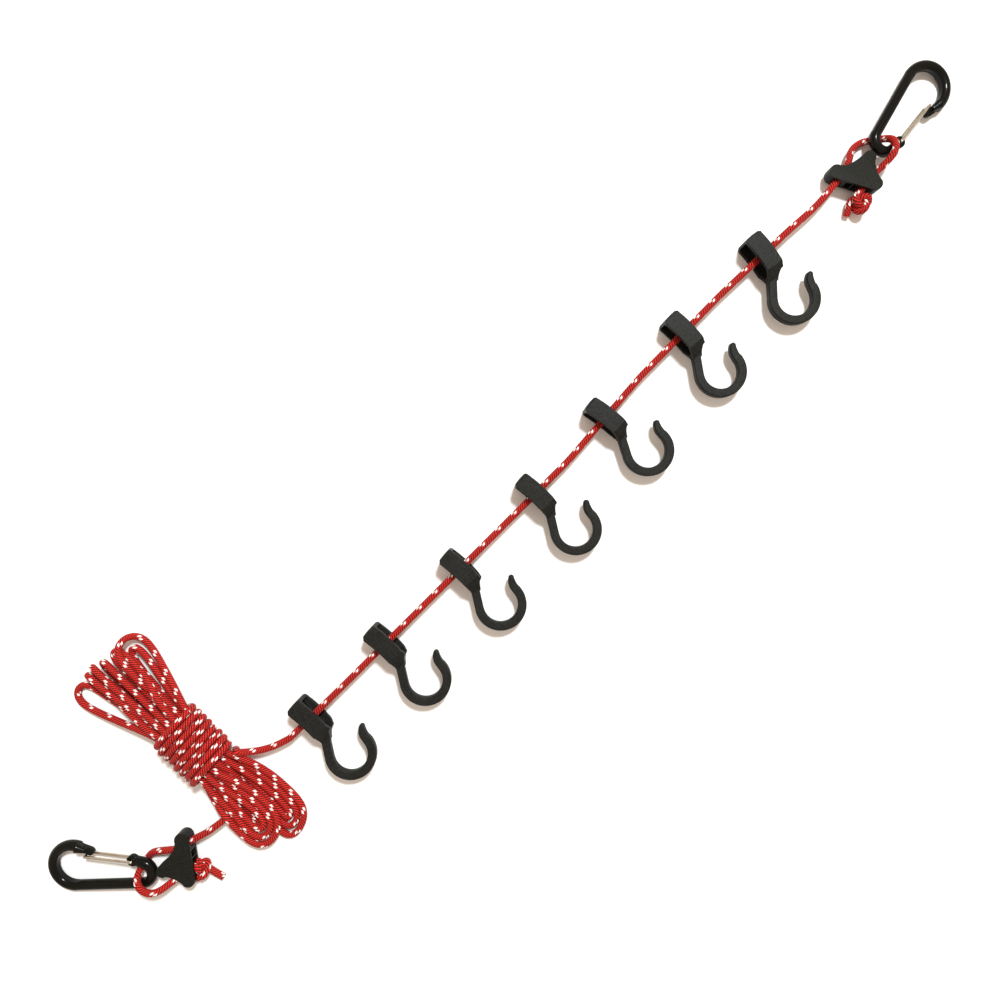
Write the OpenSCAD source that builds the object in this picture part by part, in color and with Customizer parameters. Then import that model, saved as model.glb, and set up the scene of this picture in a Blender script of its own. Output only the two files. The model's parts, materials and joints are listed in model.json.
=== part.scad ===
// Travel clothesline: one braided cord with seven sliding hooks, a tied hank of spare cord, and a
// triangular tensioner and a snap carabiner at each end. It lies flat on a floor. X runs along the
// line, the hooks hang towards -Y, and Z is up. The origin is the centre of the middle hook's throat.

/* [Cord] */
// Diameter of the braided cord
cord_d = 4; // [3.8:0.1:4.2]
// Length of cord left out at each bend of the line
bend_gap = 4; // [3:0.5:6]
// Length of the cord piece that sits inside each hook's bore
bore_piece = 8; // [6:1:10]

/* [Hooks] */
// Inner radius of a hook's throat
throat_r = 9.9; // [9.5:0.1:10.2]
// Width of the hook's bar, across the throat
bar_w = 5; // [4.6:0.1:5.2]
// Thickness of the hook's bar
bar_t = 5; // [4.6:0.1:5.4]
// Thickness of the hook's box head
head_t = 15; // [14:0.5:15]
// Radius of the bore that slides on the cord
bore_r = 2.5; // [2.3:0.1:2.6]

/* [Carabiners] */
// Radius of the carabiner's bar
rod_r = 3; // [2.9:0.05:3.1]
// Radius of the bow's centre line
bow_r = 12.5; // [12:0.1:13]
// Radius of the small end's centre line
eye_r = 6.5; // [6.3:0.1:6.8]
// Distance between the centres of the bow and the small end
clip_l = 40.4; // [40:0.1:41]
// Radius of the gate's wire
wire_r = 0.8; // [0.7:0.05:0.9]

/* [Tensioners] */
// Distance between the two rounded ends of the base
base_l = 22.9; // [22.7:0.1:23.3]
// Height of the apex above the base ends
apex_h = 14; // [13:0.5:15]
// Thickness at the base
base_t = 8; // [8:0.5:10]
// Thickness at the apex
apex_t = 6; // [5.5:0.5:7]

/* [Hank] */
// Number of turns wrapped round the hank's waist
wrap_turns = 8; // [6:1:8]

/* [Hidden] */
$fn = 48;
cord_r = cord_d / 2;
slack = 0.1;          // how far a joining piece is smaller than the piece that it enters
bite = 0.6;           // how far a joining piece enters the next one
floor_z = -head_t / 2;

// Hook: the bore lies to the left of and above the throat's centre.
bore_at = [-1.4, 30.8];
bar_mid_r = throat_r + bar_w / 2;
bar_chamfer = 0.5;
stem_from = 148;      // where the J's arc turns into the stem, in degrees round the throat
stem_l = 13.5;
tip_r = 9.3;          // the tip bends back the other way on this radius
tip_turn = 45;
tip_half = 1.65;       // half the tip's width at its end
leaf_t = 2.2;
web_t = 2;
boss_r = 4.2;
boss_l = 4.6;

// Carabiner: angle of the straight bars' normal, from the long axis.
side_angle = acos((eye_r - bow_r) / clip_l);
side_l = sqrt(clip_l * clip_l - pow(bow_r - eye_r, 2));
nose_angle = -106;    // where the bow ends, in degrees round its centre
nose_l = 7;
nose_seat = 5.4;      // how far along the nose the gate's end closes on it
nose_half = 2.2;
tang_t = 2.6;         // thickness of the nose and of the hinge block between the gate's two wires
hinge_along = 6;      // distance of the gate's hinge from the small end, along the side
hinge_block_r = 3.4;
wire_z = 2.3;         // each gate wire's height above and below the middle plane
pin_slack = 0.05;
bow_flat = 0.4;       // depth of the flat on the inside of the bow
bow_clear = 9.85;     // nothing else comes nearer than this to the bow's centre

// Tensioner: bores run at this angle from the base.
bore_tilt = 68;
lobe_r = 4.2;
apex_r = 3.6;
apex_u = 16;
bore_u = [4, 19.2];
tens_wall = 1.3;

// Course of the line, from end A to the hank: the bends between the spans, and where each span's
// hook sits. The middle span runs along X.
bends = [[210, 4], [156, 5.6], [90, 4.9], [26, 0], [-31, 0], [-92, 0], [-152, 0], [-200, 0.5]];
hook_x = [188, 124.5, 59, 0, -61, -122, -182];
hook_yaw = [-9, -4, 0, 0, 0, 0, 0];

// The cord from either side reaches the tensioner's bore here, at this angle.
a_bore = [252.6, 4.9];
a_angle = 6.5;
b_bore = [-285.5, -0.2];
b_angle = 166.5;
loop_gap = 4.6;       // straight cord left out inside the tensioner's bore, for its travel

a_eye = [285.3, 1.6];
a_eye_angle = 6.5;
b_eye = [-314.7, 6.1];
b_eye_angle = 131;
eye_roll = 8;         // the cord under one side of the small end tips the carabiner by this much
eye_z = -0.2;
bow_z = floor_z + rod_r + bow_r * sin(eye_roll);

hank_x = -240.2;
hank_waist_y = 35.6;
hank_waist_z = 2.9;
wrap_pitch = 4.15;
waist_half = [12.4, 6.1];
wrap_gap = 0.25;

// ---- vectors and paths ----

function unit(v) = v / norm(v);
function turn(a) = [cos(a), sin(a)];
function flat(p, z) = [p[0], p[1], z];

// Catmull-Rom curve through the points, with n steps between neighbours.
function blend_point(a, b, c, d, t) =
    0.5 * (2 * b + (c - a) * t + (2 * a - 5 * b + 4 * c - d) * t * t
    + (3 * b - a - 3 * c + d) * t * t * t);
function curve(pts, n) =
    let (last = len(pts) - 1,
        q = concat([2 * pts[0] - pts[1]], pts, [2 * pts[last] - pts[last - 1]]))
    concat([for (i = [0:last - 1], j = [0:n - 1])
        blend_point(q[i], q[i + 1], q[i + 2], q[i + 3], j / n)], [pts[last]]);

function tangents(path) =
    let (last = len(path) - 1)
    [for (i = [0:last]) unit(path[min(i + 1, last)] - path[max(i - 1, 0)])];

// Normals that turn as little as possible along the path.
function normals(t, start) =
    [for (i = 0, n = unit(start - (start * t[0]) * t[0]); i < len(t);
        i = i + 1, n = i < len(t) ? unit(n - (n * t[i]) * t[i]) : n) n];

// Closed tube along a path.
module tube(path, r, sides = 8) {
    t = tangents(path);
    n = normals(t, abs(t[0][2]) < 0.8 ? [0, 0, 1] : [1, 0, 0]);
    last = len(path) - 1;
    rings = [for (i = [0:last], j = [0:sides - 1])
        let (a = 360 * j / sides) path[i] + r * (cos(a) * n[i] + sin(a) * cross(t[i], n[i]))];
    sides_of = [for (i = [0:last - 1], j = [0:sides - 1]) let (k = (j + 1) % sides)
        [i * sides + j, (i + 1) * sides + j, (i + 1) * sides + k, i * sides + k]];
    caps = [[for (j = [0:sides - 1]) j], [for (j = [sides - 1:-1:0]) last * sides + j]];
    polyhedron(rings, concat(sides_of, caps));
}

// Exact round rod between two points.
module rod(from, to, r) {
    d = to - from;
    translate(from)
        rotate([0, acos(d[2] / norm(d)), atan2(d[1], d[0])])
            cylinder(h = norm(d), r = r);
}

// Everything on the line is placed from the middle hook's bore.
module on_line() {
    translate(flat(bore_at, 0)) children();
}

// Span k's direction towards end A, and the point on it where hook k's bore sits.
function span_dir(k) = unit(bends[k - 1] - bends[k]);
function span_angle(k) = atan2(span_dir(k)[1], span_dir(k)[0]);
function bore_of(k) = bends[k] + span_dir(k) * (hook_x[k - 1] - bends[k][0]) / span_dir(k)[0];

module on_span(k) {
    on_line() translate(flat(bore_of(k), 0)) rotate([0, 0, span_angle(k)]) children();
}

// ---- hooks ----

// Bar section with chamfered corners, w across and t thick.
function bar_section(w, t) =
    let (x = w / 2, y = t / 2, c = bar_chamfer)
    [[-x, c - y], [c - x, -y], [x - c, -y], [x, c - y], [x, y - c], [x - c, y], [c - x, y], [-x, y - c]];

module bar_arc(r, from, sweep, less = 0) {
    rotate([0, 0, from])
        rotate_extrude(angle = sweep)
            translate([r, 0]) polygon(bar_section(bar_w - less, bar_t - less));
}

// The tip tapers as it bends away from the throat. It is drawn inset by the given amount.
module bar_tip(inset, high) {
    centre = [bar_mid_r + tip_r, 0];
    enter = asin((bite + inset) / tip_r);
    start_half = bar_w / 2 - slack;
    steps = 8;
    function half_at(t) = start_half + (tip_half - start_half) * pow(t, 3) - inset;
    function edge(side) = [for (i = [0:steps]) let (t = i / steps)
        centre + (tip_r - side * half_at(t)) * turn(180 + enter - (tip_turn + enter) * t)];
    heading = 90 - tip_turn;
    end = centre + tip_r * turn(180 - tip_turn);
    round_end = arc(end, tip_half - inset, heading - 80, heading + 80, 8);
    linear_extrude(high, center = true) polygon(concat([for (i = [steps:-1:0]) edge(-1)[i]],
        [for (i = [0:steps]) edge(1)[i]], round_end));
}

// The J round the throat, its tip, and the stem up to the head.
module hook_bar() {
    bar_arc(bar_mid_r, stem_from, 360 - stem_from);
    high = bar_t - 2 * slack;
    bar_tip(0, high - 2 * bar_chamfer);
    bar_tip(bar_chamfer, high);
    heading = stem_from - 90;
    translate(bar_mid_r * flat(turn(stem_from), 0))
        rotate([0, 0, heading])
            rotate([90, 0, 90])
                translate([0, 0, -bite])
                    linear_extrude(stem_l + bite) polygon(bar_section(bar_w - slack, bar_t - slack));
}

// Outline of the head seen from above, from the bore.
head_outline = [[-6.3, 10.2], [-4.8, 12.1], [-1, 12.6], [2.9, 12.7], [3.8, 11.8], [4.6, 6], [5, 1],
    [5.1, -4], [4.9, -8.4], [4.5, -12.1], [2.9, -12.5], [1.4, -13.9], [-0.8, -16.8], [-6.5, -16.8],
    [-5.4, -13.4], [-5, -9.5], [-5, -4], [-5.6, 4]];
head_side = head_t / 2;
neck_side = bar_t / 2;

// Outline of the head seen along the cord: [y, z] from the bore. The two leaves close at both ends.
function head_shell() = [[-16.8, -neck_side], [-15.2, -neck_side], [-9, -head_side], [11.5, -head_side],
    [12.7, 1.2 - head_side], [12.7, head_side - 1.2], [11.5, head_side], [-9, head_side],
    [-15.2, neck_side], [-16.8, neck_side]];
function head_hollow(inner) = [[-8, -inner], [9.4, -inner], [10.4, 1 - inner], [10.4, inner - 1],
    [9.4, inner], [-8, inner], [-12.2, 1.6], [-12.2, -1.6]];

module along_cord(length) {
    rotate([90, 0, 90]) translate([0, 0, -length / 2]) linear_extrude(length) children();
}

module hook_head() {
    difference() {
        union() {
            intersection() {
                translate([0, 0, -head_t / 2]) linear_extrude(head_t) polygon(head_outline);
                union() {
                    along_cord(16)
                        difference() {
                            polygon(head_shell());
                            polygon(head_hollow(head_t / 2 - leaf_t));
                        }
                    along_cord(web_t) polygon(head_shell());
                }
            }
            rotate([0, 90, 0]) cylinder(h = boss_l, r = boss_r, center = true);
        }
        rotate([0, 90, 0]) cylinder(h = 20, r = bore_r, center = true);
    }
}

module hook(k) {
    color([0.16, 0.17, 0.16])
        on_span(k)
            rotate([0, 0, hook_yaw[k - 1]]) {
                translate(-flat(bore_at, 0)) hook_bar();
                hook_head();
            }
}

// ---- the cord between the hooks ----

module line_in_hook(k) {
    color([0.78, 0.16, 0.14])
        on_span(k) rotate([0, 90, 0]) cylinder(h = bore_piece, r = cord_r, center = true);
}

// One span: the cord on both sides of hook k, out to the bends.
module line_span(k) {
    clear = bore_piece / 2 + 0.02;
    to_bend = [norm(bends[k - 1] - bore_of(k)), -norm(bends[k] - bore_of(k))];
    color([0.78, 0.16, 0.14])
        on_span(k)
            for (end = to_bend)
                rod([sign(end) * clear, 0, 0], [end - sign(end) * bend_gap / 2, 0, 0], cord_r);
}

// From the last bend to the tensioner. It runs straight where the tensioner slides on it.
module line_to_tensioner_a() {
    d = turn(a_angle);
    path = [flat(bends[0] + [2, -0.1], 0), [223, 3.1, 0], [231.5, 2.85, 0], flat(a_bore - 13 * d, 0),
        flat(a_bore - 7 * d, 0), flat(a_bore - 1.5 * d, 0)];
    color([0.78, 0.16, 0.14])
        on_line() tube(curve(path, 4), cord_r, 12);
}

// ---- hank ----

// Stations along the hank: [y, centre x, half width, half height, centre z].
hank_stations = [
    [-41.5, 2.2, 5, 2.5, -3.4], [-39, 1.5, 11, 4.4, -2.6], [-34, 0.6, 16.6, 5.6, -1.6],
    [-27, 0.3, 19.6, 6, -1.2], [-14, 0.6, 20.3, 6.2, -0.9], [2, 1, 18.2, 6.2, 0.2],
    [11, 0.2, 15, 6.2, 2], [17, 0, 12.2, 5.9, 2.9], [35, 0, 12.2, 5.9, 2.9], [55, 0, 12.2, 5.9, 2.9],
    [63, -0.6, 13.4, 6.2, 2.2], [74, -2.2, 18.4, 6.2, 0.6], [85, -3, 24, 6.1, -0.6],
    [95, -4, 27.6, 6, -1.2], [102, -4.8, 28.2, 5.6, -1.6], [107, -5.4, 24.5, 4.6, -2.4],
    [110, -6.2, 15, 2.8, -3.4]];

// The bundle of loops as one closed body, with a rounded strand for each cord at its surface.
module hank_loops() {
    around = 56;
    strands = 14;
    ripple = 0.06;
    fullness = 2.2;       // 2 is an ellipse, and more is squarer
    path = curve(hank_stations, 2);
    last = len(path) - 1;
    rings = [for (s = path, j = [0:around - 1])
        let (a = 360 * j / around, swell = 1 - ripple * (1 + cos(strands * a)) / 2,
            c = cos(a), d = sin(a),
            e = pow(pow(abs(c), fullness) + pow(abs(d), fullness), -1 / fullness))
        [hank_x + s[1] + s[2] * swell * e * c, s[0], s[4] + s[3] * swell * e * d]];
    walls = [for (i = [0:last - 1], j = [0:around - 1]) let (k = (j + 1) % around)
        [i * around + j, i * around + k, (i + 1) * around + k, (i + 1) * around + j]];
    caps = [[for (j = [around - 1:-1:0]) j], [for (j = [0:around - 1]) last * around + j]];
    color([0.78, 0.16, 0.14])
        on_line() polyhedron(rings, concat(walls, caps));
}

// Turns of cord wound round the waist.
module hank_wraps() {
    a = waist_half[0] + wrap_gap + cord_r;
    b = waist_half[1] + wrap_gap + cord_r;
    steps = 26;
    total = wrap_turns * steps;
    start_y = hank_waist_y - wrap_turns * wrap_pitch / 2;
    path = [for (i = [0:total]) let (w = 360 * i / steps)
        [hank_x + a * cos(w), start_y + wrap_pitch * i / steps, hank_waist_z - b * sin(w)]];
    color([0.70, 0.13, 0.12])
        on_line() tube(path, cord_r * 0.98);
}

module line_into_hank() {
    path = [[-202.1, 0.9, 0], [-206, 2.4, 0], [-211, 4.6, 0], [-217, 8, 0.2], [-221.5, 11.6, 0.6],
        [-223.2, 14.6, 1]];
    color([0.78, 0.16, 0.14])
        on_line() tube(curve(path, 3), cord_r);
}

module line_out_of_hank() {
    color([0.78, 0.16, 0.14])
        on_line() tube(curve([[-259.4, -6.2, -0.4], [-261, -6, -0.2], [-263.4, -5.5, 0]], 2), cord_r);
}

module line_to_tensioner_b() {
    d = turn(b_angle);
    bend = [-265.6, -5.2];
    path = [flat(bend - [1.9, -0.15], 0), [-270, -4.3, 0], flat(b_bore - 9 * d, 0), flat(b_bore - 5 * d, 0),
        flat(b_bore - 1.5 * d, 0)];
    color([0.78, 0.16, 0.14])
        on_line() tube(curve(path, 4), cord_r, 12);
}

// ---- tensioners ----

function arc(centre, r, from, to, n) = [for (i = [0:n]) centre + r * turn(from + (to - from) * i / n)];
function bow(a, ctrl, b, n) =
    [for (i = [1:n - 1]) let (t = i / n) (1 - t) * (1 - t) * a + 2 * t * (1 - t) * ctrl + t * t * b];

// Rounded triangle with hollow shoulders. The base lies along u.
function tensioner_outline() =
    let (right = [base_l, 0], top = [apex_u, apex_h],
        r1 = right + lobe_r * turn(35), t1 = top + apex_r * turn(-25),
        t2 = top + apex_r * turn(150), l1 = lobe_r * turn(75))
    concat(arc(right, lobe_r, -90, 35, 7), bow(r1, [21, 6], t1, 6), arc(top, apex_r, -25, 150, 8),
        bow(t2, [7, 5.2], l1, 7), arc([0, 0], lobe_r, 75, 270, 10));

module tensioner() {
    deep = base_t / 2 - tens_wall;
    difference() {
        intersection() {
            translate([0, 0, -base_t / 2]) linear_extrude(base_t) polygon(tensioner_outline());
            along_cord(80)
                polygon([[-lobe_r - 1, -base_t / 2], [0, -base_t / 2], [apex_h + apex_r, -apex_t / 2],
                    [apex_h + apex_r, apex_t / 2], [0, base_t / 2], [-lobe_r - 1, base_t / 2]]);
        }
        for (u = bore_u)
            translate([u, 0, 0]) rotate([0, 0, bore_tilt]) rotate([0, 90, 0])
                cylinder(h = 40, r = bore_r, center = true);
        translate([0, 0, -deep])
            linear_extrude(2 * deep) {
                polygon([[6.9, -lobe_r - 1], [9.6, 2.6], [10.7, 2.6], [10.7, -lobe_r - 1]]);
                polygon([[11.7, -lobe_r - 1], [11.7, 4.5], [14, 6.5], [16.4, 6.5], [13.4, -lobe_r - 1]]);
            }
    }
}

module at_tensioner_a() {
    on_line()
        translate(flat(a_bore, 0)) rotate([0, 0, a_angle - bore_tilt]) translate([-bore_u[0], 0, 0]) children();
}

module at_tensioner_b() {
    on_line()
        translate(flat(b_bore, 0)) rotate([0, 0, b_angle + bore_tilt]) mirror([0, 1, 0])
            translate([-bore_u[0], 0, 0]) children();
}

module tensioner_a() {
    color([0.15, 0.16, 0.15]) at_tensioner_a() tensioner();
}

module tensioner_b() {
    color([0.15, 0.16, 0.15]) at_tensioner_b() tensioner();
}

// ---- eye loops and knots ----

// Middle of the knot side's bore, for each end.
a_knot_bore = a_bore + (bore_u[1] - bore_u[0]) * turn(a_angle - bore_tilt);
b_knot_bore = b_bore + (bore_u[1] - bore_u[0]) * turn(b_angle + bore_tilt);

// The loop leaves the tensioner, passes under one bar of the carabiner, through it, over the other
// bar and back into the tensioner.
module eye_loop(out, back, d, points) {
    path = concat([flat(out, 0), flat(out + 2 * d, 0)], points, [flat(back + 5.5 * d, 0), flat(back, 0)]);
    color([0.78, 0.16, 0.14]) on_line() tube(curve(path, 4), cord_r, 10);
}

module eye_loop_a() {
    d = turn(a_angle);
    eye_loop(a_bore + (loop_gap - 1.5) * d, a_knot_bore - 0.5 * d, d,
        [[263, 8.2, -0.6], [270, 11, -2.8], [277.4, 10.4, -4.7], [282.8, 7.1, -4.7], [286.6, 2.9, -2.2],
        [286.9, -0.6, 2.1], [284.5, -4.4, 4.5], [279.8, -7, 4.8], [274.4, -7.9, 2.6], [269.2, -7.7, 0.4]]);
}

module eye_loop_b() {
    d = turn(b_angle);
    eye_loop(b_bore + (loop_gap - 1.5) * d, b_knot_bore - 0.5 * d, d,
        [[-296, 5, -0.8], [-302.4, 8.8, -3], [-306.4, 9.9, -4.6], [-309.8, 9.5, -4.8], [-314.4, 8.4, -2.6],
        [-317.4, 5.6, 1.9], [-318.5, 1.4, 4.6], [-317.4, -4, 4.9], [-313.6, -8.6, 3.8], [-308.8, -10.9, 2],
        [-304.2, -11, 0.4]]);
}

// The knot as a plain ball, with the cord that comes out of the tensioner and a short tail.
knot_r = 5.6;
knot_lead = 8;

module knot(centre, tail, bore, d) {
    color([0.78, 0.16, 0.14])
        on_line() {
            translate(flat(centre, 0)) sphere(r = knot_r);
            rod(flat(bore - d, 0), flat(bore - knot_lead * d, 0), cord_r);
            rod(flat(centre, 0), flat(tail, 0), cord_r);
        }
}

module stopper_knot_a() {
    knot([251, -13.6], [241.8, -14.6], a_knot_bore, turn(a_angle));
}

module stopper_knot_b() {
    knot([-285.8, -18.3], [-283.4, -28.4], b_knot_bore, turn(b_angle));
}

// ---- carabiners ----

// The bar's section in the bow, with a flat on its inner side.
module bow_section() {
    intersection() {
        circle(r = rod_r);
        translate([bow_flat - rod_r, -rod_r]) square([2 * rod_r, 2 * rod_r]);
    }
}

module ring_arc(r, from, sweep) {
    rotate([0, 0, from]) rotate_extrude(angle = sweep) translate([r, 0]) children();
}

side_from = eye_r * turn(side_angle);
gate_from = eye_r * turn(-side_angle);
side_dir = turn(side_angle - 90);
gate_dir = turn(90 - side_angle);
hinge_at = gate_from + hinge_along * gate_dir;
nose_root = [clip_l, 0] + bow_r * turn(nose_angle);
nose_dir = turn(nose_angle - 90);
nose_mid = nose_root + nose_seat * nose_dir;
gate_tip = nose_mid + (nose_half + wire_r + 0.1) * turn(nose_angle - 180);

// A flat bar in the middle plane from one point to the other.
module tang(from, to, half) {
    d = to - from;
    translate(flat(from, 0))
        rotate([0, 0, atan2(d[1], d[0])])
            translate([0, -half, -tang_t / 2]) cube([norm(d), 2 * half, tang_t]);
    translate(flat(to, 0)) cylinder(h = tang_t, r = half + 0.02, center = true);
}

module carabiner_body() {
    thin = rod_r - slack;
    difference() {
        union() {
            translate([clip_l, 0, 0])
                ring_arc(bow_r, nose_angle, side_angle - nose_angle) bow_section();
            ring_arc(eye_r, side_angle, 360 - 2 * side_angle) circle(r = rod_r);
            rod(flat(side_from - bite * side_dir, 0), flat(side_from + (side_l + bite) * side_dir, 0), thin);
            rod(flat(gate_from - bite * gate_dir, 0), flat(gate_from + (hinge_along - hinge_block_r) * gate_dir, 0),
                thin);
            tang(gate_from, hinge_at, 2.7);
            translate(flat(hinge_at, 0)) cylinder(h = tang_t, r = hinge_block_r, center = true);
            tang(nose_root - bite * nose_dir, nose_root + nose_l * nose_dir, nose_half);
        }
        translate(flat(hinge_at, 0)) cylinder(h = 20, r = wire_r + pin_slack, center = true);
        translate([clip_l, 0, 0]) cylinder(h = 20, r = bow_clear, center = true);
    }
}

module gate_wire() {
    for (s = [-1, 1]) {
        rod(flat(hinge_at, s * wire_z), flat(gate_tip, s * wire_z), wire_r);
        translate(flat(hinge_at, s * wire_z)) sphere(r = wire_r + 0.02);
        translate(flat(gate_tip, s * wire_z)) sphere(r = wire_r + 0.02);
        rod(flat(hinge_at, s * 0.3), flat(hinge_at, s * wire_z), wire_r);
    }
    rod(flat(gate_tip, -wire_z), flat(gate_tip, wire_z), wire_r);
}

// The carabiner's small end rests on the cord, and its bow on the floor.
clip_drop = asin((eye_z - bow_z) / clip_l);

module at_eye(eye, angle, roll) {
    on_line()
        translate(flat(eye, eye_z)) rotate([0, 0, angle]) rotate([0, clip_drop, 0]) rotate([roll, 0, 0])
            children();
}

module carabiner_body_a() {
    color([0.08, 0.08, 0.08]) at_eye(a_eye, a_eye_angle, eye_roll) carabiner_body();
}

module carabiner_body_b() {
    color([0.08, 0.08, 0.08]) at_eye(b_eye, b_eye_angle, -eye_roll) carabiner_body();
}

module gate_wire_a() {
    color([0.75, 0.72, 0.66]) at_eye(a_eye, a_eye_angle, eye_roll) gate_wire();
}

module gate_wire_b() {
    color([0.75, 0.72, 0.66]) at_eye(b_eye, b_eye_angle, -eye_roll) gate_wire();
}

hook(1);  // hook_1
hook(2);  // hook_2
hook(3);  // hook_3
hook(4);  // hook_4
hook(5);  // hook_5
hook(6);  // hook_6
hook(7);  // hook_7
line_in_hook(1);  // line_in_hook_1
line_in_hook(2);  // line_in_hook_2
line_in_hook(3);  // line_in_hook_3
line_in_hook(4);  // line_in_hook_4
line_in_hook(5);  // line_in_hook_5
line_in_hook(6);  // line_in_hook_6
line_in_hook(7);  // line_in_hook_7
line_span(1);  // line_span_1
line_span(2);  // line_span_2
line_span(3);  // line_span_3
line_span(4);  // line_span_4
line_span(5);  // line_span_5
line_span(6);  // line_span_6
line_span(7);  // line_span_7
line_to_tensioner_a();
line_into_hank();
hank_loops();
hank_wraps();
line_out_of_hank();
line_to_tensioner_b();
tensioner_a();
eye_loop_a();
stopper_knot_a();
carabiner_body_a();
gate_wire_a();
tensioner_b();
eye_loop_b();
stopper_knot_b();
carabiner_body_b();
gate_wire_b();
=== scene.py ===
"""Travel clothesline: braided cord, sliding hooks, a hank of spare cord, tensioners and carabiners.
Lengths are in millimetres in the row's frame until a mesh is made. Line coordinates are measured
from the middle hook's bore."""

import json
import math

import bmesh
import bpy
import numpy as np
from mathutils import Matrix, Vector


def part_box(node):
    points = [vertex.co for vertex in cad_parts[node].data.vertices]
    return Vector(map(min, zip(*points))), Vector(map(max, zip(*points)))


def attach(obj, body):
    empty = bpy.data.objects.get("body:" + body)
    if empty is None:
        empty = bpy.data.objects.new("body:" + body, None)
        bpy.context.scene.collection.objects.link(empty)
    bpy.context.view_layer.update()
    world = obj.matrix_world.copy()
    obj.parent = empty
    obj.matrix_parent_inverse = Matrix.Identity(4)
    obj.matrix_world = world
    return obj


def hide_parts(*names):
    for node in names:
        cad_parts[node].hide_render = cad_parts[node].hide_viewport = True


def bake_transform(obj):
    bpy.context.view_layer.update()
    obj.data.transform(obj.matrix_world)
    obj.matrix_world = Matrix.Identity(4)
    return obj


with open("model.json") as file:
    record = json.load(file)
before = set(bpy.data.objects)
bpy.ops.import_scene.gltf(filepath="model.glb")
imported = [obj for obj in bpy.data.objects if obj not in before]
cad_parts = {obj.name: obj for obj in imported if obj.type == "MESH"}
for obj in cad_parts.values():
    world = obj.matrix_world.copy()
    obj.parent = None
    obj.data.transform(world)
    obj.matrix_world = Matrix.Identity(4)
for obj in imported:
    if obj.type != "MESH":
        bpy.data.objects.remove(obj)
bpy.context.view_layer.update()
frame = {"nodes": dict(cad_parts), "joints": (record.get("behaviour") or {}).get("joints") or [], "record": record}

MM = 0.001
JOINTS = {j["name"]: j for j in frame["joints"]}
MOUNTS = {m["name"]: m for m in frame["record"]["mounts"]}


def place(name):
    """Where a joint turns, in millimetres."""
    return np.array(JOINTS[name]["pos_m"], float) / MM


def heading(name):
    """Which way a joint's axis points."""
    return np.array(JOINTS[name]["axis"], float)


LINE = place("hook_4_swing")
FLOOR_Z = min(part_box(f"hook_{k}")[0][2] for k in range(1, 8)) / MM    # the hooks lie on the floor


def on_line(points):
    return np.array(points, float) + LINE


# ---- paths ----

def spline(points, step=0.25):
    """Catmull-Rom curve through the points, as evenly spaced points."""
    p = np.array(points, float)
    q = np.vstack([2 * p[0] - p[1], p, 2 * p[-1] - p[-2]])
    out = []
    for a, b, c, d in zip(q, q[1:], q[2:], q[3:]):
        n = max(2, int(np.linalg.norm(c - b) / step))
        t = np.arange(n)[:, None] / n
        out.append(0.5 * (2 * b + (c - a) * t + (2 * a - 5 * b + 4 * c - d) * t ** 2
                          + (3 * b - a - 3 * c + d) * t ** 3))
    return np.vstack(out + [p[-1:]])


def lengths(path):
    return np.concatenate([[0], np.cumsum(np.linalg.norm(np.diff(path, axis=0), axis=1))])


def resample(path, step):
    s = lengths(path)
    n = max(2, int(round(s[-1] / step)) + 1)
    at = np.linspace(0, s[-1], n)
    return np.stack([np.interp(at, s, path[:, i]) for i in range(3)], axis=1)


def soften(path, passes):
    """Rounds a path off, and leaves its ends where they are."""
    p = path.copy()
    for _ in range(passes):
        p[1:-1] = 0.25 * p[:-2] + 0.5 * p[1:-1] + 0.25 * p[2:]
    return p


def cut(path, start, end):
    """The part of a path between the points nearest to start and end, and the first point's index."""
    i = int(np.argmin(np.linalg.norm(path - start, axis=1)))
    j = int(np.argmin(np.linalg.norm(path - end, axis=1)))
    return path[min(i, j):max(i, j) + 1], min(i, j)


NEAR = 1.5            # how close to touching two parts of a cord are before they are watched
PUSH = 1.4            # how strongly parts that overlap are pushed apart
PULL = 0.8            # how strongly a stretched cord pulls itself back to length
STRAIGHTEN = 0.35     # how strongly it straightens


def relax(path, radius, step, passes, held, low, shrink=1.0):
    """Settles a cord: it doesn't pass through itself, stays above low and ends at shrink times its length.
    held gives 1 for each point that doesn't move and 0 for the rest."""
    p = resample(path, step)
    seg = lengths(p)[-1] / (len(p) - 1)
    free = 1.0 - held(p)
    apart = int(math.ceil(math.pi * radius / seg))
    ids = np.arange(len(p))
    for k in range(passes):
        target = seg * (1 - (1 - shrink) * min(1, 1.6 * k / passes))
        if k % 4 == 0:
            d2 = ((p[:, None] - p[None]) ** 2).sum(2)
            i, j = np.where((d2 < (2 * radius + NEAR) ** 2) & (ids[None] - ids[:, None] > apart))
        move = np.zeros_like(p)
        count = np.full(len(p), 1e-9)
        d = p[j] - p[i]
        n = np.linalg.norm(d, axis=1) + 1e-9
        over = np.clip(2 * radius - n, 0, None)
        push = d / n[:, None] * (0.5 * over)[:, None]
        np.add.at(move, i, -push)
        np.add.at(move, j, push)
        np.add.at(count, i, over > 0)
        np.add.at(count, j, over > 0)
        p += free[:, None] * move / np.maximum(1, count)[:, None] * PUSH
        for half in (0, 1):
            a, b = p[half:-1:2], p[half + 1::2]
            m = min(len(a), len(b))
            e = b[:m] - a[:m]
            n = np.linalg.norm(e, axis=1, keepdims=True) + 1e-9
            fix = 0.5 * (n - target) / n * e
            a[:m] += fix * free[half:-1:2][:m, None] * PULL
            b[:m] -= fix * free[half + 1::2][:m, None] * PULL
        bend = 0.25 * (p[:-2] + p[2:]) - 0.5 * p[1:-1]
        p[1:-1] += STRAIGHTEN * bend * free[1:-1, None]
        p[:, 2] = np.maximum(p[:, 2], low)
    return p


# ---- the braided cord ----

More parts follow.
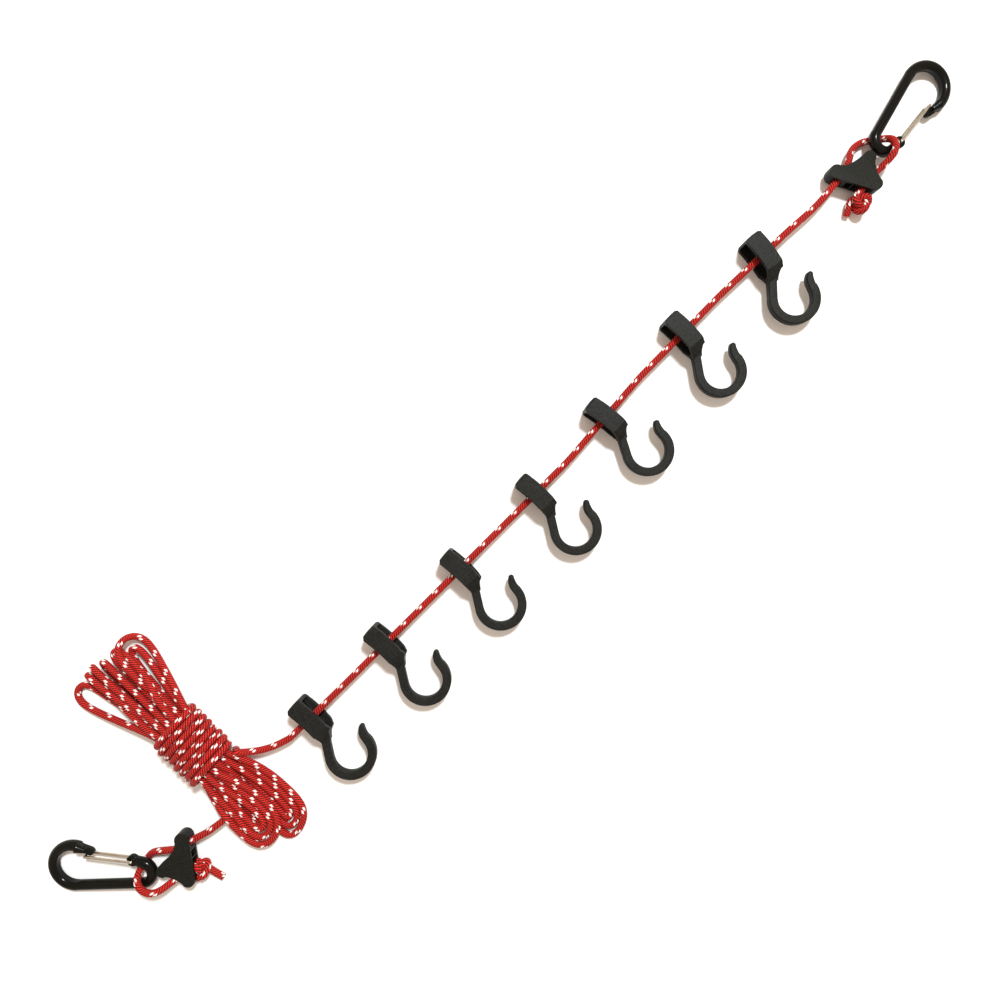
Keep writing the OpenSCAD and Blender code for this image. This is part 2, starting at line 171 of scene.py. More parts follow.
CORD_R = 2.0
COLUMNS = 10          # columns of strands round the cord
PICK = 1.6            # length of one crossing along the cord
SLANT = 0.5           # how far a crossing leans over one column, in crossings
SHIFT = 0.62          # how far each column is staggered from the last
REPEAT = 8            # crossings from one white fleck to the next
RELIEF = 0.16         # how far the strands stand out
END_DOME = 0.45       # how far a cut end bulges
END_UV = (0.08, 0.05, 0.11)  # where round the cord a cut end takes its colour from
FINE = (30, 0.35)     # sides of a cord's mesh, and distance between its rings
COARSE = (20, 0.75)   # the same inside the hank, where the strands are only drawn
# The white flecks: (column, first crossing, crossings).
FLECKS = [(0, 0.0, 1.15), (1, 0.9, 1.15), (3, 1.7, 1.15), (4, 2.6, 1.15), (6, 4.6, 1.15), (7, 5.5, 1.15)]


def braid_height(u, v):
    """Height of the strands, 0 to 1, at u along and v round the cord."""
    c = np.floor(v * COLUMNS)
    a = v * COLUMNS - c
    phase = u / PICK + SLANT * (a - 0.5) + SHIFT * c
    w = phase - np.floor(phase)
    return (0.75 + 0.25 * np.abs(np.sin(math.pi * a)) ** 0.5) * np.abs(np.sin(math.pi * w)) ** 0.8


def transport(path):
    """Tangents and normals that turn as little as possible."""
    t = np.gradient(path, axis=0)
    t /= np.linalg.norm(t, axis=1, keepdims=True)
    n = np.zeros_like(t)
    first = np.array([0.0, 0.0, 1.0]) if abs(t[0][2]) < 0.8 else np.array([1.0, 0.0, 0.0])
    n[0] = first - (first @ t[0]) * t[0]
    n[0] /= np.linalg.norm(n[0])
    for i in range(1, len(t)):
        m = n[i - 1] - (n[i - 1] @ t[i]) * t[i]
        n[i] = m / np.linalg.norm(m)
    return t, n


def make_mesh(name, verts, faces):
    mesh = bpy.data.meshes.new(name)
    mesh.from_pydata([tuple(v) for v in np.array(verts) * MM], [], [tuple(f) for f in faces])
    mesh.update()
    mesh.polygons.foreach_set("use_smooth", [True] * len(mesh.polygons))
    obj = bpy.data.objects.new(name, mesh)
    bpy.context.scene.collection.objects.link(obj)
    return obj


def cord(name, path, u_from=0.0, fine=True):
    """A length of braided cord along a path. The ends are closed. u_from sets where its pattern starts."""
    sides, step = FINE if fine else COARSE
    p = resample(path, step)
    t, n = transport(p)
    b = np.cross(t, n)
    rings = len(p)
    u = u_from + lengths(p)
    v = np.arange(sides) / sides
    angle = 2 * math.pi * v
    h = braid_height(u[:, None], np.broadcast_to(v + 0.5 / sides, (rings, sides)))
    if not fine:
        h = np.broadcast_to(np.abs(np.sin(math.pi * np.mod((v + 0.5 / sides) * COLUMNS, 1))) ** 0.5, h.shape)
    r = CORD_R - RELIEF * (1 - h)
    around = np.cos(angle)[None, :, None] * n[:, None] + np.sin(angle)[None, :, None] * b[:, None]
    verts = (p[:, None] + r[:, :, None] * around).reshape(-1, 3)
    i = np.arange(rings - 1)[:, None] * sides
    j = np.arange(sides)[None]
    k = (j + 1) % sides
    faces = np.stack([i + j, i + k, i + sides + k, i + sides + j], axis=2).reshape(-1, 4).tolist()
    uv = [[(u[a], v[c]), (u[a], v[c] + 1 / sides), (u[a + 1], v[c] + 1 / sides), (u[a + 1], v[c])]
          for a in range(rings - 1) for c in range(sides)]
    ends = []
    for ring, way in ((0, -1), (rings - 1, 1)):
        base = len(verts) + len(ends)
        centre = p[ring] + way * END_DOME * t[ring]
        ends.append(centre)
        for c in range(sides):
            a0, a1 = ring * sides + c, ring * sides + (c + 1) % sides
            faces.append([base, a0, a1] if way > 0 else [base, a1, a0])
            uv.append([(u[ring], place_round) for place_round in END_UV])
    obj = make_mesh(name, np.vstack([verts, ends]), faces)
    layer = obj.data.uv_layers.new(name="cord")
    layer.data.foreach_set("uv", np.array([corner for face in uv for corner in face], np.float32).ravel())
    obj.data.materials.append(MATERIAL["cord"])
    return obj


# ---- materials ----

class Value:
    """A number in a material's node tree, for writing its pattern as a formula."""

    def __init__(self, tree, socket):
        self.tree = tree
        self.socket = socket

    def _math(self, kind, other=None, clamp=False):
        node = self.tree.nodes.new("ShaderNodeMath")
        node.operation = kind
        node.use_clamp = clamp
        for slot, value in enumerate((self, other)):
            if isinstance(value, Value):
                self.tree.links.new(value.socket, node.inputs[slot])
            elif value is not None:
                node.inputs[slot].default_value = value
        return Value(self.tree, node.outputs[0])

    def __add__(self, other):
        return self._math("ADD", other)

    def __sub__(self, other):
        return self._math("SUBTRACT", other)

    def __mul__(self, other):
        return self._math("MULTIPLY", other)

    def size(self):
        return self._math("ABSOLUTE")

    def floor(self):
        return self._math("FLOOR")

    def part(self):
        return self._math("FRACT")

    def wave(self):
        """Half a sine, 0 to 1 and back, as the value goes from 0 to 1."""
        return (self * math.pi)._math("SINE").size()

    def power(self, n):
        return self._math("POWER", n)

    def below(self, n):
        return self._math("LESS_THAN", n)

    def mod(self, n):
        return self._math("FLOORED_MODULO", n)

    def clamp(self):
        return self._math("ADD", 0.0, clamp=True)


MATERIAL = {}


def new_material(name, **inputs):
    mat = bpy.data.materials.new(name)
    mat.use_nodes = True
    bsdf = mat.node_tree.nodes["Principled BSDF"]
    for key, value in inputs.items():
        bsdf.inputs[key.replace("_", " ")].default_value = value
    MATERIAL[name] = mat
    return mat.node_tree, bsdf


def noise(tree, scale, detail=3.0, stretch=None):
    node = tree.nodes.new("ShaderNodeTexNoise")
    node.inputs["Scale"].default_value = scale
    node.inputs["Detail"].default_value = detail
    coord = tree.nodes.new("ShaderNodeTexCoord")
    source = coord.outputs["Object"]
    if stretch:
        mapping = tree.nodes.new("ShaderNodeMapping")
        mapping.inputs["Scale"].default_value = stretch
        tree.links.new(source, mapping.inputs["Vector"])
        source = mapping.outputs["Vector"]
    tree.links.new(source, node.inputs["Vector"])
    return Value(tree, node.outputs["Fac"])


def mix(tree, factor, a, b):
    """Colour a at factor 0 and b at factor 1; each is a colour or another mix."""
    node = tree.nodes.new("ShaderNodeMix")
    node.data_type = "RGBA"
    for slot, value in (("A", a), ("B", b)):
        socket = [s for s in node.inputs if s.name == slot and s.type == "RGBA"][0]
        if isinstance(value, tuple):
            socket.default_value = (*value, 1)
        else:
            tree.links.new(value, socket)
    target = [s for s in node.inputs if s.name == "Factor" and s.type == "VALUE"][0]
    tree.links.new(factor.socket, target)
    return [s for s in node.outputs if s.type == "RGBA"][0]


def bump(tree, bsdf, height, distance, strength=1.0):
    node = tree.nodes.new("ShaderNodeBump")
    node.inputs["Distance"].default_value = distance
    node.inputs["Strength"].default_value = strength
    tree.links.new(height.socket, node.inputs["Height"])
    tree.links.new(node.outputs["Normal"], bsdf.inputs["Normal"])


def spread(value, low, high):
    """A value from 0 to 1, stretched between two numbers."""
    return value * (high - low) + low


def make_cord_material():
    tree, bsdf = new_material("cord", Roughness=0.6, Sheen_Weight=0.03, Sheen_Roughness=0.4,
                              Specular_IOR_Level=0.15)
    uv = tree.nodes.new("ShaderNodeUVMap")
    uv.uv_map = "cord"
    split = tree.nodes.new("ShaderNodeSeparateXYZ")
    tree.links.new(uv.outputs["UV"], split.inputs["Vector"])
    u, v = Value(tree, split.outputs["X"]), Value(tree, split.outputs["Y"])
    wide = v * COLUMNS
    column = wide.floor()
    across = wide.part()
    phase = u * (1 / PICK) + (across - 0.5) * SLANT + column * SHIFT
    along = phase.part()
    height = spread(across.wave().power(0.5), 0.7, 1.0) * along.wave().power(1.1)
    white = None
    for its_column, first, count in FLECKS:
        on = (column - its_column).size().below(0.5)
        fleck = on * (phase - (first + its_column * SHIFT)).mod(float(REPEAT)).below(count)
        white = fleck if white is None else white + fleck
    fibre = noise(tree, 5200, 2.0)
    fade = noise(tree, 60, 3.0)
    red = mix(tree, fade, (0.54, 0.017, 0.012), (0.73, 0.03, 0.021))
    # Painted shade: where the strands sink into the grooves between crossings, the red darkens to near black and
    # the white flecks to greyish pink.
    groove_shaded_red = mix(tree, (height * 1.15 - 0.2).clamp(), (0.022, 0.0008, 0.001), red)
    groove_shaded_white = mix(tree, (height * 1.8).clamp(), (0.42, 0.25, 0.22), (0.9, 0.88, 0.85))
    colour = mix(tree, white.clamp(), groove_shaded_red, groove_shaded_white)
    tree.links.new(colour, bsdf.inputs["Base Color"])
    rough = spread(fibre, 0.5, 0.72)
    tree.links.new(rough.socket, bsdf.inputs["Roughness"])
    bump(tree, bsdf, height + fibre * 0.18, 0.0002, 1.0)


def upright(tree):
    """0 on faces that look up or down, 1 on walls."""
    shape = tree.nodes.new("ShaderNodeNewGeometry")
    split = tree.nodes.new("ShaderNodeSeparateXYZ")
    tree.links.new(shape.outputs["True Normal"], split.inputs["Vector"])
    return spread(Value(tree, split.outputs["Z"]).size(), 1.0, 0.0)


def make_plastic(name, base, rough, grain, wall):
    """Moulded plastic with a speckled, grained face, and painted shade on its walls, which take the base colour at
    wall times its brightness.
    """
    tree, bsdf = new_material(name, Specular_IOR_Level=0.13)
    patch = noise(tree, 90, 4.0)
    speckle = spread(noise(tree, 1300, 2.0), -1.0, 2.0).clamp()
    dark = tuple(0.2 * c for c in base)
    light = tuple(1.9 * c for c in base)
    moulded_face = mix(tree, patch * 0.4 + speckle * 0.6, dark, light)
    # Painted shade: the walls are given a darker copy of the base colour, as if turned away from the light.
    shaded_wall = tuple(wall * c for c in base)
    colour = mix(tree, upright(tree).power(2.0), moulded_face, shaded_wall)
    tree.links.new(colour, bsdf.inputs["Base Color"])
    fine = noise(tree, 2600, 2.0)
    worn = spread(patch * 0.5 + fine * 0.5, rough - 0.1, rough + 0.12)
    tree.links.new(worn.socket, bsdf.inputs["Roughness"])
    bump(tree, bsdf, fine + noise(tree, 500, 2.0) * 1.5, grain, 0.7)


def make_coat():
    tree, bsdf = new_material("carabiner_coat", Coat_Weight=0.22, Coat_Roughness=0.12,
                              Specular_IOR_Level=0.04)
    patch = noise(tree, 70, 4.0)
    colour = mix(tree, patch, (0.0015, 0.0015, 0.001), (0.006, 0.0058, 0.0042))
    tree.links.new(colour, bsdf.inputs["Base Color"])
    scuff = noise(tree, 900, 3.0, stretch=(1.0, 1.0, 0.2))
    tree.links.new(spread(scuff, 0.22, 0.4).socket, bsdf.inputs["Roughness"])
    bump(tree, bsdf, scuff, 0.00002, 0.6)


def make_nickel():
    tree, bsdf = new_material("gate_nickel", Metallic=1.0)
    patch = noise(tree, 220, 3.0)
    colour = mix(tree, patch, (0.46, 0.41, 0.33), (0.68, 0.63, 0.55))
    tree.links.new(colour, bsdf.inputs["Base Color"])
    draw = noise(tree, 1500, 2.0)
    tree.links.new(spread(draw, 0.14, 0.34).socket, bsdf.inputs["Roughness"])
    bump(tree, bsdf, draw, 0.00001, 0.5)


make_cord_material()
make_plastic("hook_plastic", (0.0112, 0.0115, 0.0102), 0.5, 0.0001, 0.25)
make_plastic("tensioner_plastic", (0.0085, 0.0088, 0.0064), 0.42, 0.00007, 0.25)
make_coat()
make_nickel()


# ---- the line ----

BORES = {k: place(f"hook_{k}_swing") for k in range(1, 8)}
BENDS = {"a": place("bend_end_a"), 1: place("bend_1_2"), 2: place("bend_2_3"), 3: place("bend_3_4"),
         4: place("bend_4_5"), 5: place("bend_5_6"), 6: place("bend_6_7"), "hank": place("bend_hank"),
         "lead": place("bend_lead_b")}
A_BORE = on_line([252.6, 4.9, 0])
B_BORE = on_line([-285.5, -0.2, 0])
A_WAY = -heading("take_up_a")
B_WAY = -heading("take_up_b")
INTO_HANK = on_line([[-206, 2.4, 0], [-211, 4.4, 0], [-216.5, 7.6, 0.2], [-221, 11.2, 0.9],
                     [-223.9, 14.2, 2.2], [-225.3, 16.4, 3.3], [-225.7, 17.4, 2.9]])


def line_path():
    """From end A's tensioner through all the hooks to the start of the hank."""
    points = [A_BORE + 0.4 * A_WAY, A_BORE - 7 * A_WAY, A_BORE - 13 * A_WAY, on_line([231.5, 2.85, 0]),
              on_line([223, 3.1, 0]), BENDS["a"]]
    path = [spline(points)]
    for k in range(1, 8):
        after = BENDS.get(k, BENDS["hank"])
        path.append(spline([path[-1][-1], BORES[k]])[1:])
        path.append(spline([BORES[k], after])[1:])
    whole = resample(np.vstack(path), 0.5)
    head = soften(whole, 60)
    return np.vstack([head, spline(np.vstack([head[-1:], INTO_HANK]))[1:]])


# ---- the hank ----

HANK = (-246.0, 34.0)  # the hank's middle, in line coordinates
WAIST_X = 5.8         # the waist's middle, in the hank's own coordinates
WAIST_Y = 1.6
WAIST_Z = 2.9         # its height above the line
WAIST = (14.65, 8.35)  # half width and half height of the turns' path
TURNS = 8
TURN_PITCH = 4.15
FIRST_TURN_DROP = 1.6  # the first turn starts this much further towards the lead

# The cord's places in the waist, from left to right: (x, layer).
SLOTS = [(-10, 0), (-8, -1), (-8, 1), (-6, 0), (-4, -1), (-4, 1), (-2, 0), (0, 1), (0, -1), (2, 0),
         (4, -1), (4, 1), (6, 0), (8, -1), (10, 0)]
# Each loop joins two places: (places, tip's middle x, tip y, half width, lean in degrees, z, skew).
UPPER = [((0, 1), -21.4, 75.2, 6.3, 0, -5.4, 0), ((2, 3), -11.2, 76.2, 3.4, 62, -1.6, 0),
         ((4, 5), -6.0, 77.6, 3.8, 60, -1.2, 0), ((6, 7), 0.2, 75.4, 4.0, 50, -1.4, 0),
         ((9, 11), 9.6, 75.0, 4.2, 20, -0.8, 0), ((10, 13), 17.2, 69.4, 3.8, 0, -1.6, 0),
         ((12, 14), 18.7, 75.8, 8.0, -28, -1.0, -1)]
LOWER = [((1, 7), -1.6, 69.0, 11.8, 0, -1.7, -4), ((2, 6), -1.6, 65.0, 7.8, 0, -1.7, -2.5),
         ((3, 5), -1.6, 60.8, 3.8, 0, -1.7, -1), ((4, 9), -6.0, 60.0, 3.0, 0, -5.4, 0),
         ((11, 13), 12.4, 71.8, 6.2, 0, -5.4, -5), ((10, 12), 12.2, 67.4, 2.3, 0, -5.4, -3),
         ((8, 14), 12.0, 76.2, 10.2, 0, -5.4, -7)]
TURNS_SLOT = 8        # the place where the turns' far end tucks in
SLOT_STEP = 1.02      # width and height of the places' grid
LAYER_STEP = 3.3
IN_WAIST = 8          # the loops run straight this far either side of the hank's middle
LEG_Y = (13, 24, 42)  # where a loop's legs are set, on their way to its tip
# How far the legs have opened at the second and third of those, above and below the waist.
SPREAD = {1: (0.14, 0.55), -1: (0.45, 0.9)}


def slot_at(i, y):
    x, layer = SLOTS[i]
    return np.array([WAIST_X + SLOT_STEP * x, y, WAIST_Z + LAYER_STEP * layer])


def lobe(loop, first, sign):
    """One loop from its first place in the waist round its tip to the other."""
    (a, b), cx, tip, half, lean, z, skew = loop
    rad = math.radians(lean)
    side = np.array([math.cos(rad), 0, math.sin(rad)]) * half
    mid = np.array([cx, 0, z])
    low, high = (a, b) if SLOTS[a][0] <= SLOTS[b][0] else (b, a)
    reach = 0.9 * half

    def leg(slot, way):
        w = slot_at(slot, 0)
        tip_side = mid + way * side
        near, far = [w + part * (tip_side - w) for part in SPREAD[sign]]
        legs = [[x, y, z] for (x, _, z), y in zip((w, near, far), LEG_Y)]
        return legs + [[tip_side[0], tip - reach - 5, tip_side[2]]]

    def arch(t):
        return mid + math.cos(t) * -side + np.array([skew * math.sin(t) ** 2,
                                                     tip - reach + reach * math.sin(t), 0])

    turn = [arch(t) for t in np.radians([20, 55, 90, 125, 160])]
    points = np.array(leg(low, -1) + turn + leg(high, 1)[::-1], float)
    points[:, 1] *= sign
    return points if first == low else points[::-1]


def hank_path():
    """One cord through every place in the waist, from the turns' end to the lead towards end B."""
    points = []
    here, sign = TURNS_SLOT, -1
    while True:
        points.append(slot_at(here, -sign * IN_WAIST))
        points.append(slot_at(here, sign * IN_WAIST))
        loop = next((entry for entry in (UPPER if sign > 0 else LOWER) if here in entry[0]), None)
        if loop is None:
            return np.array(points)
        points.extend(lobe(loop, here, sign))
        here, sign = sum(loop[0]) - here, -sign


def turns_path():
    """The turns round the waist, from the lead's side up to the far end."""
    w = np.radians(np.linspace(0, 360 * TURNS, 26 * TURNS + 1))
    y = WAIST_Y + TURN_PITCH * (w / (2 * math.pi) - TURNS / 2) - FIRST_TURN_DROP * np.exp(-(w / 1.4) ** 2)
    swell = 1 + 0.02 * np.sin(1.7 * w) + 0.015 * np.sin(0.61 * w + 1)
    return np.stack([WAIST_X + WAIST[0] * swell * np.cos(w), y, WAIST_Z - WAIST[1] * np.sin(w)], axis=1)


def in_hank(points):
    """Hank coordinates to the row's frame."""
    return on_line(np.array(points, float) + [*HANK, 0])


# From the turns' far end down under the loops and into the waist.
TUCK = [[17.6, 19.6, -3.0], [12.4, 21.6, -5.2], [7.6, 21.8, -3.6], [5.9, 18, -1.2]]
# From the waist out under the loops towards end B.
LEAD_OUT = [-13.4, -40.2, -1.4]
LEAD = [[-4.6, -20, -1.5], [-5.6, -28, -4.6], [-7.4, -35.5, -5.4], [-10.2, -39.2, -3.6], LEAD_OUT]
GRIPPED = 15.5        # the turns hold the cord still this far either side of the waist's middle


def settle_hank():
    turns = turns_path()
    body = spline(np.vstack([turns[-3:], TUCK, hank_path(), LEAD]), 0.5)

    def held(p):
        inside = (np.abs(p[:, 1] - WAIST_Y) < GRIPPED).astype(float)
        inside[:4] = 1
        inside[-6:] = 1
        return inside

    passes = 160
    body = relax(body, CORD_R * 0.99, 1.5, passes, held, FLOOR_Z + CORD_R)
    return turns, soften(body, 2)


line = line_path()
turns, hank_body = settle_hank()

BEND_REACH = 5        # distance from each corner along its piece of cord; it is worked out for every piece and then not used


def lay_line():
    """The line's cord in pieces that end inside the hooks' bores, so that each has one bend in it."""
    pieces = [("cord_end_a", A_BORE + 0.4 * A_WAY, BORES[1], "end_a", "span_1", "a", ["line_to_tensioner_a"])]
    for k in range(1, 7):
        pieces.append((f"cord_{k}_{k + 1}", BORES[k], BORES[k + 1], f"span_{k}", f"span_{k + 1}", k,
                       [f"line_span_{k}", f"line_in_hook_{k}"]))
    pieces.append(("cord_into_hank", BORES[7], line[-1], "span_7", "hank", "hank",
                   ["line_into_hank", "line_span_7", "line_in_hook_7"]))
    for name, start, end, near, far, bend, nodes in pieces:
        part, first = cut(line, start, end)
        piece = cord(name, part, u_from=lengths(line)[first])
        corner = BENDS[bend]
        way = corner - start if far == "hank" else end - start
        reach = BEND_REACH * (way / np.linalg.norm(way))
        (corner - reach) * MM
        (corner + reach) * MM
        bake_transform(piece)
        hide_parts(*nodes)


def lay_hank():
    """The turns and loops, which move as one, and the lead from them to end B's tensioner."""
    wraps = cord("hank_turns", in_hank(turns), u_from=3.0, fine=False)
    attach(wraps, "hank")
    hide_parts("hank_wraps")
    loops = cord("hank_loops_cord", in_hank(hank_body), u_from=1.0, fine=False)
    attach(loops, "hank")
    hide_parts("hank_loops", "line_out_of_hank")
    path = spline([in_hank([LEAD_OUT])[0], BENDS["lead"], on_line([-272, -4, 0]), B_BORE - 6 * B_WAY,
                   B_BORE - 2 * B_WAY, B_BORE + 0.4 * B_WAY])
    piece = cord("cord_to_end_b", path, u_from=5.0)
    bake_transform(piece)
    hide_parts("line_to_tensioner_b")


lay_line()
lay_hank()

# ---- eye loops and knots ----

BORE_STEP = 15.2      # distance between a tensioner's two bores
BORE_TILT = 68        # angle from the line to the way from the first bore to the second, in degrees
KNOT_Z = -1.6         # height of the knots' middles
KNOT_RING = 2.6       # how far a knot's turns lie from its middle
KNOT_WEAVE = 1.4      # how far they weave in and out
KNOT_LIFT = 1.7       # and how far up and down


def knot_bore(bore, way, tilt):
    """The bore that the knot sits behind, from the line's bore."""
    a = math.atan2(way[1], way[0]) + math.radians(tilt)
    return bore + BORE_STEP * np.array([math.cos(a), math.sin(a), 0])


A_KNOT = knot_bore(A_BORE, A_WAY, -BORE_TILT)
B_KNOT = knot_bore(B_BORE, B_WAY, BORE_TILT)
EYE_A = [[263, 8.2, -0.6], [270, 11, -2.8], [277.4, 10.4, -4.7], [282.8, 7.1, -4.7], [286.6, 2.9, -2.2],
         [286.9, -0.6, 2.1], [284.5, -4.4, 4.5], [279.8, -7, 4.8], [274.4, -7.9, 2.6], [269.2, -7.7, 0.4]]
EYE_B = [[-296, 5, -0.8], [-302.4, 8.8, -3], [-306.4, 9.9, -4.6], [-309.8, 9.5, -4.8], [-314.4, 8.4, -2.6],
         [-317.4, 5.6, 1.9], [-318.3, 1.4, 4.6], [-317.3, -3.6, 4.9], [-314.6, -7, 4.7], [-310.4, -8.9, 3.4],
         [-305.4, -10, 1.4]]


def eye_loop(end, bore, knot, way, points):
    """The cord from the line's bore round the carabiner's small end and back to the knot's bore."""
    out = [bore + 3.1 * way, bore + 5.1 * way]
    back = [knot + 5 * way, knot - 0.5 * way]
    path = np.vstack([out, on_line(points), back])
    piece = cord(f"eye_cord_{end}", soften(resample(spline(path), 0.4), 12), u_from=2.0)
    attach(piece, f"eye_{end}")
    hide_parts(f"eye_loop_{end}")


def overhand(end, knot, way, centre, tail, flip):
    """A stopper knot: an overhand drawn up against the tensioner, with a short tail."""
    centre, tail = on_line([*centre, KNOT_Z]), on_line([*tail, FLOOR_Z + CORD_R])
    out = -way
    side = np.array([out[1], -out[0], 0.0]) * flip
    t = np.linspace(0.16, 2 * math.pi - 0.16, 70)
    reach = KNOT_RING + KNOT_WEAVE * np.cos(3 * t)
    core = (centre - np.outer(reach * np.cos(2 * t), side) + np.outer(reach * np.sin(2 * t), out)
            + np.outer(KNOT_LIFT * np.sin(3 * t), [0, 0, 1]))
    step = core[-1] + 2.2 * out - 0.8 * side
    path = spline(np.vstack([knot - 1 * way, knot - 2.5 * way, core, step, tail]), 0.4)

    def held(p):
        fixed = np.zeros(len(p))
        fixed[:4] = 1
        fixed[-2:] = 1
        return fixed

    tight = relax(path, CORD_R * 0.8, 0.8, 40, held, FLOOR_Z + CORD_R, shrink=0.96)
    piece = cord(f"knot_cord_{end}", soften(tight, 2), u_from=7.0)
    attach(piece, f"tensioner_{end}")
    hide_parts(f"stopper_knot_{end}")


eye_loop("a", A_BORE, A_KNOT, A_WAY, EYE_A)
eye_loop("b", B_BORE, B_KNOT, B_WAY, EYE_B)
overhand("a", A_KNOT, A_WAY, (251.0, -14.2), (242.2, -13.8), -1)
overhand("b", B_KNOT, B_WAY, (-291.4, -16.0), (-286.8, -29.6), 1)

# ---- moulded pieces ----

TAPER_R = (2.9, 1.4)  # radii of the carabiner bar's taper
TAPER_L = 5.8


def moulded(node, voxel, passes, faces, taper=None):
    """A CAD node's shape with its edges rounded as a moulding's are, and a taper melted into it."""
    source = frame["nodes"][node]
    obj = bpy.data.objects.new("tmp", source.data.copy())
    if taper:
        shape = bmesh.new()
        shape.from_mesh(obj.data)
        bmesh.ops.create_cone(shape, cap_ends=True, segments=40, radius1=TAPER_R[0] * MM,
                              radius2=TAPER_R[1] * MM, depth=TAPER_L * MM, matrix=taper)
        shape.to_mesh(obj.data)
        shape.free()
    bpy.context.scene.collection.objects.link(obj)
    remesh = obj.modifiers.new("r", "REMESH")
    remesh.mode = "VOXEL"
    remesh.voxel_size = voxel * MM
    smooth = obj.modifiers.new("s", "SMOOTH")
    smooth.factor = 0.5
    smooth.iterations = passes
    deps = bpy.context.evaluated_depsgraph_get()
    count = len(obj.evaluated_get(deps).data.polygons)
    if count > faces:
        dec = obj.modifiers.new("d", "DECIMATE")
        dec.ratio = faces / count
    deps = bpy.context.evaluated_depsgraph_get()
    mesh = bpy.data.meshes.new_from_object(obj.evaluated_get(deps), depsgraph=deps)
    mesh.polygons.foreach_set("use_smooth", [True] * len(mesh.polygons))
    bpy.data.objects.remove(obj)
    return mesh


def show(name, mesh, body, node, material):
    obj = bpy.data.objects.new(name, mesh)
    bpy.context.scene.collection.objects.link(obj)
    mesh.materials.clear()
    mesh.materials.append(MATERIAL[material])
    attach(obj, body)
    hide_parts(node)


def hook_angle(k):
    """How far hook k is turned about Z, from its bore and its throat."""
    d = np.array(MOUNTS[f"hook_{k}_throat"]["pos_m"]) / MM - BORES[k]
    return math.atan2(d[1], d[0])


def show_hooks():
    """Seven copies of one moulding, each turned as its own hook is."""
    mould = moulded("hook_4", voxel=0.22, passes=3, faces=15000)
    to_origin = Matrix.Translation(-Vector(BORES[4] * MM))
    for k in range(1, 8):
        mesh = mould.copy()
        spin = Matrix.Rotation(hook_angle(k) - hook_angle(4), 4, "Z")
        mesh.transform(Matrix.Translation(Vector(BORES[k] * MM)) @ spin @ to_origin)
        show(f"hook_{k}_moulding", mesh, f"hook_{k}", f"hook_{k}", "hook_plastic")


show_hooks()

CLIPS = {"a": ((285.3, 1.6), 6.5, 8), "b": ((-314.7, 6.1), 131, -8)}  # small end's centre, heading and roll
CLIP_Z = -0.2
CLIP_DROP = 0.79      # how far the bow dips below the small end, in degrees
BOW_END = (37.0, -12.0)  # where the bow's round bar ends, in the carabiner's own plane
BOW_END_ANGLE = 164   # which way the nose points from there


def nose_taper(end):
    """The bow's round bar thinning down to the flat nose."""
    eye, angle, roll = CLIPS[end]
    clip = Matrix.Translation(Vector(on_line([*eye, CLIP_Z]) * MM))
    for turn, axis in ((angle, "Z"), (CLIP_DROP, "Y"), (roll, "X")):
        clip = clip @ Matrix.Rotation(math.radians(turn), 4, axis)
    heading_in = Matrix.Rotation(math.radians(BOW_END_ANGLE), 4, "Z")
    nose = Matrix.Translation(Vector((*BOW_END, 0)) * MM) @ heading_in
    ahead = Matrix.Translation(Vector((TAPER_L / 2 - 1, 0, 0)) * MM) @ Matrix.Rotation(math.pi / 2, 4, "Y")
    return clip @ nose @ ahead


def show_end(end):
    """An end's tensioner, its carabiner's bar and the wire gate, which is the CAD's own mesh."""
    grip = moulded(f"tensioner_{end}", voxel=0.2, passes=3, faces=14000)
    show(f"tensioner_{end}_moulding", grip, f"tensioner_{end}", f"tensioner_{end}", "tensioner_plastic")
    bar = moulded(f"carabiner_body_{end}", voxel=0.26, passes=8, faces=16000, taper=nose_taper(end))
    show(f"carabiner_{end}_bar", bar, f"carabiner_{end}", f"carabiner_body_{end}", "carabiner_coat")
    gate = frame["nodes"][f"gate_wire_{end}"]
    gate.data.materials.clear()
    gate.data.materials.append(MATERIAL["gate_nickel"])
    gate.data.polygons.foreach_set("use_smooth", [True] * len(gate.data.polygons))


show_end("a")
show_end("b")


# ---- stage ----

FLOOR_SIZE = 2.4      # in metres
GLOW = (1.0, 0.84, 0.7, 1)  # the room's light, which the camera sees as a white backdrop
GLOW_STRENGTH = 0.72
KEY_FROM = (0.62, 0.33, 1.15)  # where the light is, in metres
KEY_SIZE = 0.17
KEY_COLOUR = (0.93, 0.98, 1.0)
KEY_POWER = 12
CAMERA_UP = 390.0     # camera's height above the cord
VIEW_AT = (-17.5, 15.9)  # what it looks down on, in line coordinates
VIEW_WIDTH = 569.25   # width seen at the cord's height
VIEW_TURN = -45       # the camera's turn about Z, in degrees
SENSOR = 36


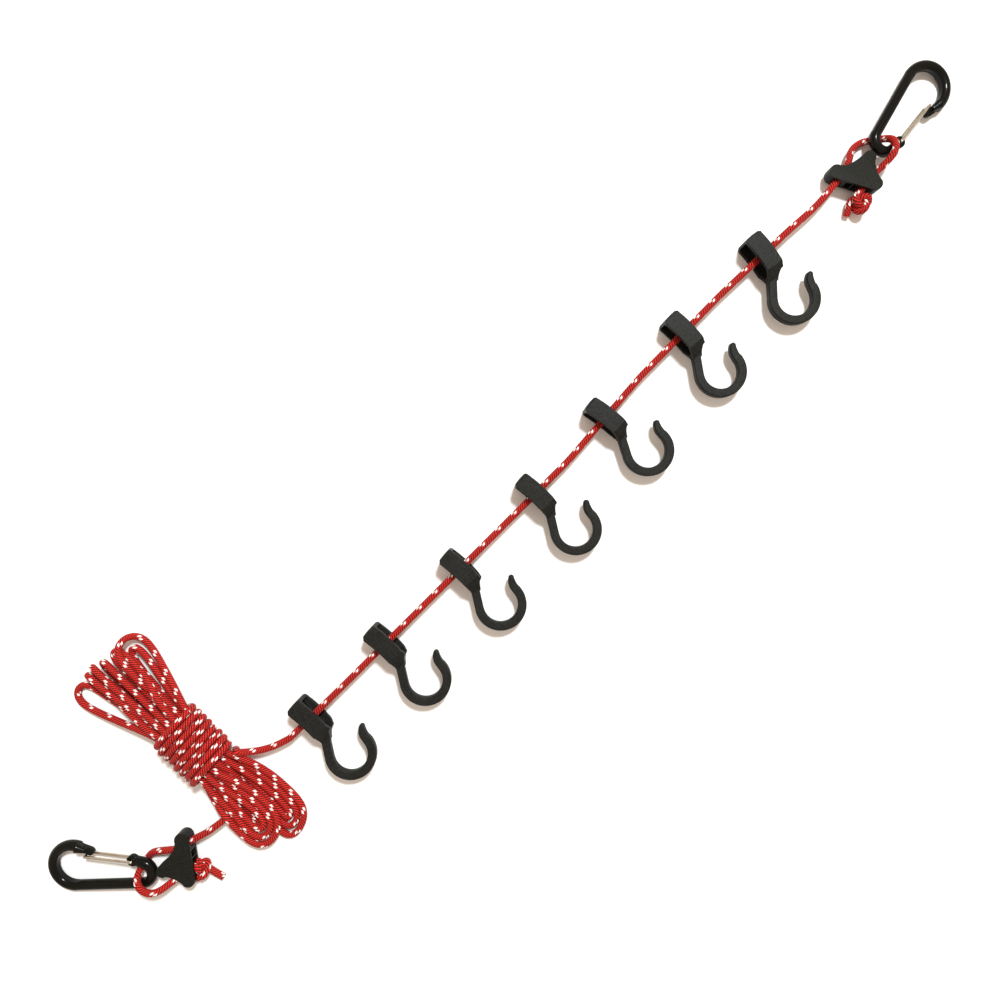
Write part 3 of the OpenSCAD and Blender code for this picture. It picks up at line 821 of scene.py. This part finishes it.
def make_floor():
    bpy.ops.mesh.primitive_plane_add(size=FLOOR_SIZE, location=(0, 0, FLOOR_Z * MM))
    floor = bpy.context.object
    floor.name = "floor"
    new_material("floor", Base_Color=(0.9, 0.9, 0.9, 1), Roughness=0.8)
    floor.data.materials.append(MATERIAL["floor"])


def make_room():
    world = bpy.data.worlds.new("world")
    bpy.context.scene.world = world
    world.use_nodes = True
    room = world.node_tree
    glow = room.nodes["Background"]
    glow.inputs["Color"].default_value = GLOW
    glow.inputs["Strength"].default_value = GLOW_STRENGTH
    backdrop = room.nodes.new("ShaderNodeBackground")
    backdrop.inputs["Color"].default_value = (1, 1, 1, 1)
    ray = room.nodes.new("ShaderNodeLightPath")
    seen = room.nodes.new("ShaderNodeMixShader")
    room.links.new(ray.outputs["Is Camera Ray"], seen.inputs[0])
    room.links.new(glow.outputs[0], seen.inputs[1])
    room.links.new(backdrop.outputs[0], seen.inputs[2])
    room.links.new(seen.outputs[0], room.nodes["World Output"].inputs["Surface"])


def make_key_light():
    """A lamp near by, as bright at both ends of the line."""
    light = bpy.data.lights.new("key", "AREA")
    light.size = KEY_SIZE
    light.energy = KEY_POWER
    light.color = KEY_COLOUR
    light.use_nodes = True
    tree = light.node_tree
    even = tree.nodes.new("ShaderNodeLightFalloff")
    even.inputs["Strength"].default_value = 1.0
    tree.links.new(even.outputs["Constant"], tree.nodes["Emission"].inputs["Strength"])
    key = bpy.data.objects.new("key", light)
    key.location = KEY_FROM
    key.rotation_euler = (-Vector(KEY_FROM)).to_track_quat("-Z", "Y").to_euler()
    bpy.context.scene.collection.objects.link(key)


def make_camera():
    camera = bpy.data.cameras.new("camera")
    camera.sensor_width = SENSOR
    camera.lens = SENSOR * CAMERA_UP / VIEW_WIDTH
    camera.clip_start = 0.01
    obj = bpy.data.objects.new("camera", camera)
    obj.location = on_line([*VIEW_AT, CAMERA_UP]) * MM
    obj.rotation_euler = (0, 0, math.radians(VIEW_TURN))
    scene = bpy.context.scene
    scene.collection.objects.link(obj)
    scene.camera = obj
    scene.view_settings.view_transform = "Standard"


make_floor()
make_room()
make_key_light()
make_camera()
